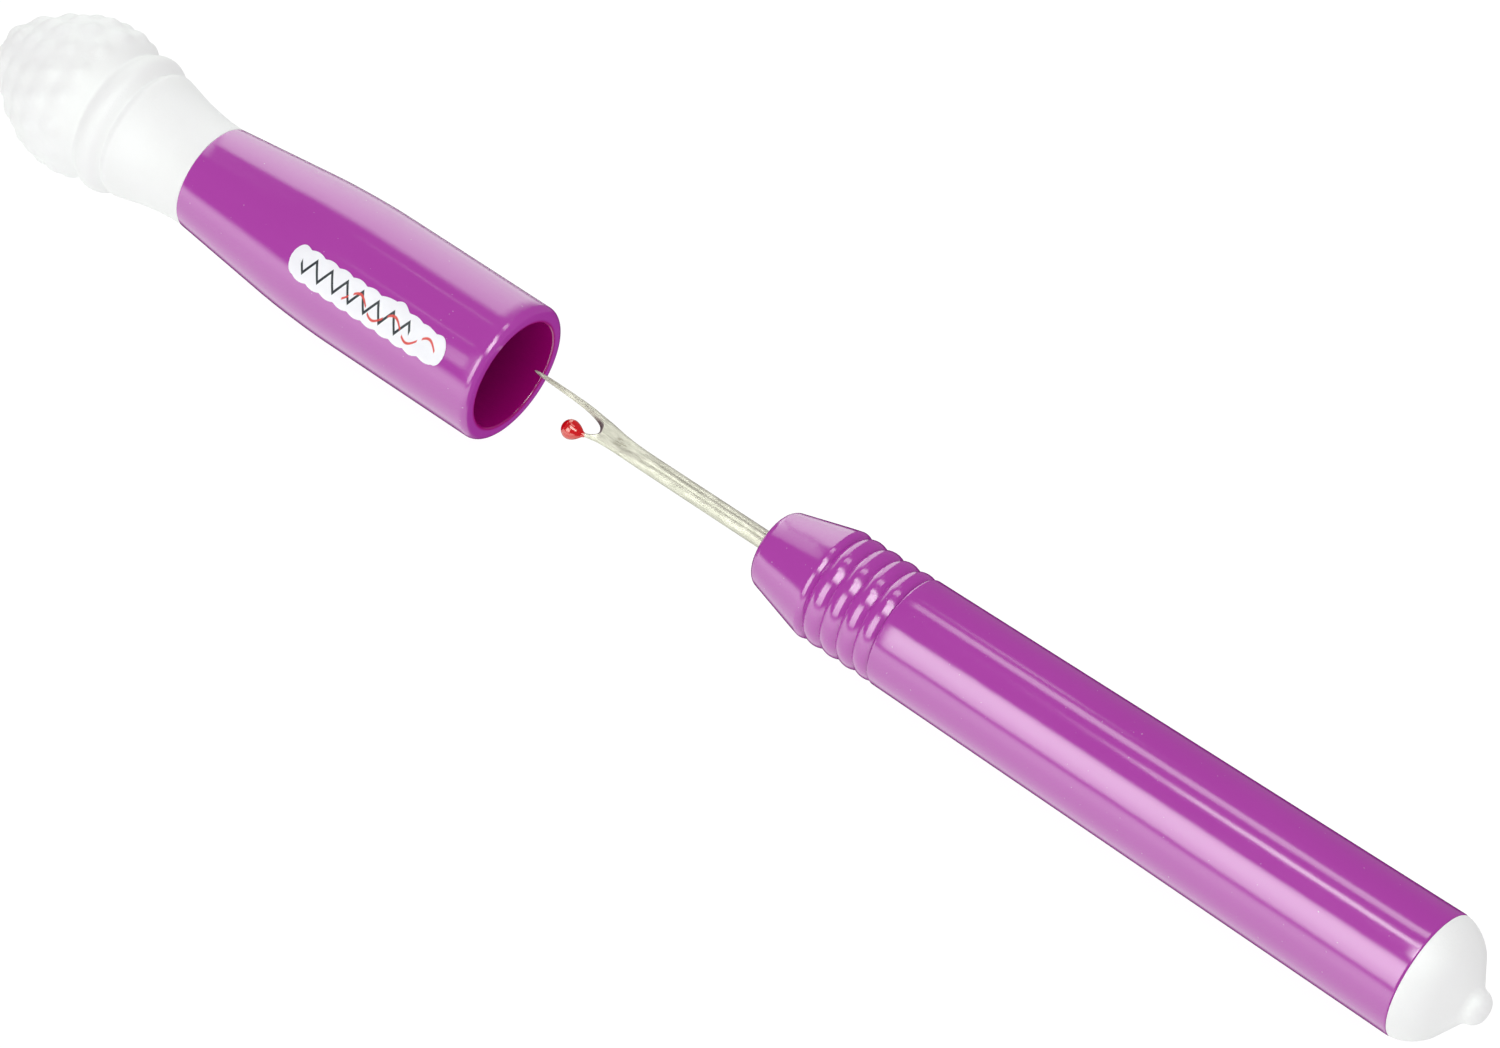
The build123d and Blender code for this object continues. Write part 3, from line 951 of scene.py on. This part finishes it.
# %% Bead
bead_middle = Vector((nose + 25.5, 1.62, axis_height))
bead_slope = math.radians(11)
bead_corners = [
    (-1.62, 0, 0),
    (-1.60, 0.24, 0.04),
    (-1.34, 0.30, 0.12),
    (-0.95, 0.66, 0.24),
    (-0.42, 0.99, 0.26),
    (0.16, 1.10, 0.28),
    (0.70, 0.86, 0.28),
    (1.03, 0.38, 0.25),
    (1.07, 0, 0),
]
bead_shape = turned(bead_corners, steps=64)
bmesh.ops.rotate(
    bead_shape,
    cent=axis_point,
    matrix=Matrix.Rotation(bead_slope, 3, "Z"),
    verts=bead_shape.verts[:],
)
bmesh.ops.translate(bead_shape, vec=bead_middle - axis_point, verts=bead_shape.verts[:])
finished(
    bead_shape, "safety_bead", "handle", enamel.material, "safety_ball", 60,
)

# %% [markdown]
# The sticker is a thin printed film, cut to a lobed outline, that lies on the curved wall of
# the cap. It starts as a flat grid. The rows of the grid are squeezed into the outline, the
# film is wrapped around the cap by turning its width into an angle, and it is given its
# thickness last. Its own UV map keeps the flat coordinates, in millimetres, for the print.

# %% Sticker
film_middle = mouth + 14.8
film_turn = math.radians(42.5)
film_half_length = 10.45
film_half_height = 1.72
film_thickness = 0.07
film_gap = 0.012
lobe_pitch = 1.9
lobe_height = 0.24
end_length = 1.5
end_fullness = 2.4
flare_curve = 170


def cap_wall(depth):
    """How far the cap's outer wall is from the axis at a depth behind its mouth."""
    straight = mouth_reach - (mouth_reach - wall_reach) * depth / straight_length
    into_flare = max(0.0, depth - (straight_length - flare_rounding))
    return straight - into_flare ** 2 / flare_curve


def film_edge(along, upper):
    """The sticker's outline: a half height that swells in lobes and closes at both ends."""
    shift = 0 if upper else lobe_pitch / 2
    lobe = abs(math.cos(math.pi * (along + shift) / lobe_pitch))
    height = film_half_height + lobe_height * lobe
    if upper:
        height += 0.5 * math.exp(-((along + 3.4) / 1.1) ** 2)
    if along < -6.6:
        height *= 1 - 0.10 * min(1.0, (-6.6 - along) / 1.2)
    beyond = max(0.0, abs(along) - (film_half_length - end_length)) / end_length
    return height * math.sqrt(max(0.0, 1 - min(1.0, beyond) ** end_fullness))


film_shape = bmesh.new()
bmesh.ops.create_grid(film_shape, x_segments=168, y_segments=14, size=1.0)
print_map = film_shape.loops.layers.uv.new("print")
for vertex in film_shape.verts:
    along = vertex.co.x * (film_half_length - 0.01)
    height = vertex.co.y * film_edge(along, vertex.co.y > 0)
    vertex.co = Vector((along, height, 0))
for face in film_shape.faces:
    for corner in face.loops:
        corner[print_map].uv = corner.vert.co.xy
for vertex in film_shape.verts:
    along, height, _ = vertex.co
    reach = cap_wall(film_middle + along - mouth) + film_gap
    turn = film_turn + height / wall_reach
    vertex.co = Vector((
        film_middle + along,
        reach * math.cos(turn),
        axis_height + reach * math.sin(turn),
    ))
bmesh.ops.recalc_face_normals(film_shape, faces=film_shape.faces[:])


def from_middle(face):
    return abs(face.calc_center_median().x - film_middle)


outward = Vector((math.cos(film_turn), math.sin(film_turn)))
if min(film_shape.faces, key=from_middle).normal.yz.dot(outward) < 0:
    bmesh.ops.reverse_faces(film_shape, faces=film_shape.faces[:])
bmesh.ops.solidify(film_shape, geom=film_shape.faces[:], thickness=-film_thickness)
bmesh.ops.recalc_face_normals(film_shape, faces=film_shape.faces[:])

# %% Printed film
paper_white = colour(0.80, 0.79, 0.84)
paper_bright = colour(0.88, 0.87, 0.92)
dark_ink = colour(0.018, 0.020, 0.030)
red_ink = colour(0.62, 0.045, 0.040)
stitch_pitch = 2.1
stitch_height = 0.95
stitch_width = 0.28
wave_rate = 1.35
wave_height = 0.85
wave_width = 0.15
edge_softness = 0.05

ink = Finish("printed_film", IOR=1.46)
along, height, _ = ink.parts(ink.node("UVMap", {"uv_map": "print"}))

zigzag = (along / stitch_pitch).math("PINGPONG", 0.5) * 4.0 - 1.0
from_stitch = abs(height - stitch_height * zigzag - 0.1)
dark_line = from_stitch.below(stitch_width, edge_softness)
dark_line = dark_line * abs(along - 1.6).below(7.4, 0.05)
from_wave = abs(height - ((along * wave_rate).math("SINE") * wave_height - 0.15))
dashes = (along * wave_rate / math.pi).math("FRACT").below(0.82, 0.02)
red_line = from_wave.below(wave_width, edge_softness) * dashes
red_line = red_line * along.below(3.0, 0.02) * along.above(-9.6, 0.02)
paper_tone = ink.noise(ink.place(), 700, 3)
paper = ink.blend(paper_tone, paper_white, paper_bright)
with_dark = ink.blend(dark_line, paper, dark_ink)
ink.feed("Base Color", ink.blend(red_line, with_dark, red_ink))
ink.feed("Roughness", 0.26 + 0.12 * paper_tone - 0.08 * dark_line)
ink.relief(paper_tone + 0.5 * dark_line, 0.00001)
finished(
    film_shape, "sticker", "cap", ink.material, "cap_label", 50,
)

# %% [markdown]

# %% End
print("scene built")
